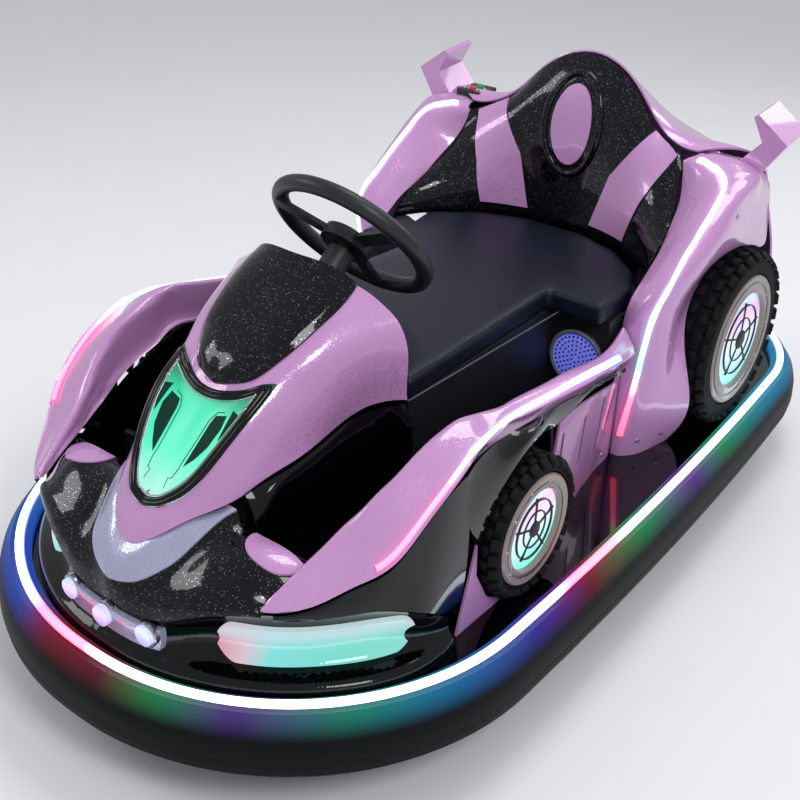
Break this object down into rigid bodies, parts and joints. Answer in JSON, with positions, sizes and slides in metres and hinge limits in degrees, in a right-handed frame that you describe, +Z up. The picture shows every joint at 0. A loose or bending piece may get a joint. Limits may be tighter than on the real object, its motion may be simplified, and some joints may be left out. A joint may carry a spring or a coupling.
{
  "type": "two-seat battery bumper car",
  "caption": "Racing-kart styled battery bumper car: rubber ring, moulded body with light strips, twin bench seat, steering wheel and hub-motor front wheel.",
  "frame": {"origin": "on the floor under the middle of the rubber bumper ring", "axes": "+X to the driver's left, -Y ahead past the nose, +Z up"},
  "size_m": [1.0234, 1.98, 0.8973],
  "materials": {
    "bumper_rubber": "matt moulded rubber",
    "light_strip": "milky extruded light strip",
    "deck_black": "gloss gel coat on glass fibre",
    "glitter_black": "black metal flake gel coat",
    "lavender_pink": "gloss gel coat on glass fibre",
    "silver_lavender": "pearl gel coat",
    "lamp_lens": "frosted lens",
    "mint_panel": "back-lit acrylic",
    "tyre_black": "moulded tread",
    "wheel_cover": "back-lit wheel cover",
    "vinyl_slate": "slate vinyl over foam",
    "grip_black": "soft moulded grip",
    "steel_black": "powder coat",
    "battery_case": "moulded case",
    "speaker_blue": "blue-lit grille"
  },
  "bodies": {
    "kart": {"bumper_ring": "bumper_rubber", "bumper_light": "light_strip", "deck_tray": "deck_black", "nose_cowl": "glitter_black", "chin_plate": "silver_lavender", "headlamps": "lamp_lens", "lamp_panel": "silver_lavender", "lamp_bulbs": "lamp_lens", "spine_cowl": "lavender_pink", "light_plate": "mint_panel", "canopy": "glitter_black", "fender_left": "lavender_pink", "fender_right": "lavender_pink", "front_tyres": "tyre_black", "front_hubs": "wheel_cover", "rear_tyres": "tyre_black", "rear_hubs": "wheel_cover", "quarter_left": "lavender_pink", "quarter_right": "lavender_pink", "winglets": "lavender_pink", "floor_tunnel": "deck_black", "seat_base": "deck_black", "seat_cushion": "vinyl_slate", "plank_base": "deck_black", "seat_shell": "glitter_black", "tail_cowl": "lavender_pink", "steering_column": "steel_black", "fork_bearing": "steel_black", "rear_axle": "steel_black", "chassis_frame": "steel_black", "battery_block": "battery_case", "speakers": "speaker_blue", "throttle_pedal": "steel_black", "flank_left": "deck_black", "flank_right": "deck_black", "side_vents": "lavender_pink", "vent_inserts": "lavender_pink", "fender_lights": "light_strip", "pillar_lights": "light_strip", "seat_straps": "lavender_pink", "headrest_oval": "lavender_pink", "control_panel": "grip_black", "steering_box": "steel_black", "nose_skirt": "deck_black", "footwell_walls": "deck_black", "corner_fins": "lavender_pink", "jack_pads": "steel_black", "dash_back": "deck_black"},
    "steering_wheel": {"steering_wheel": "grip_black"},
    "drive_fork": {"drive_fork": "steel_black"},
    "drive_wheel": {"drive_wheel": "tyre_black"},
    "rear_road_wheel_left": {"rear_road_wheel_left": "tyre_black"},
    "rear_road_wheel_right": {"rear_road_wheel_right": "tyre_black"}
  },
  "joints": [
    {"name": "steering", "type": "hinge", "parent": "kart", "child": "steering_wheel", "pos_m": [0, -0.353, 0.707], "axis": [0, 0.7727, 0.6347], "range_deg": [-120, 120]},
    {"name": "fork_steer", "type": "hinge", "parent": "kart", "child": "drive_fork", "pos_m": [0, -0.6, 0.2], "axis": [0, 0, 1], "range_deg": [-120, 120]},
    {"name": "drive_wheel_spin", "type": "hinge", "parent": "drive_fork", "child": "drive_wheel", "pos_m": [0, -0.6, 0.1], "axis": [1, 0, 0], "continuous": true},
    {"name": "rear_left_spin", "type": "hinge", "parent": "kart", "child": "rear_road_wheel_left", "pos_m": [0.3, 0.47, 0.08], "axis": [1, 0, 0], "continuous": true},
    {"name": "rear_right_spin", "type": "hinge", "parent": "kart", "child": "rear_road_wheel_right", "pos_m": [-0.3, 0.47, 0.08], "axis": [1, 0, 0], "continuous": true}
  ],
  "couplings": [
    {"joint": "steering", "follows": "fork_steer", "ratio": 1}
  ]
}
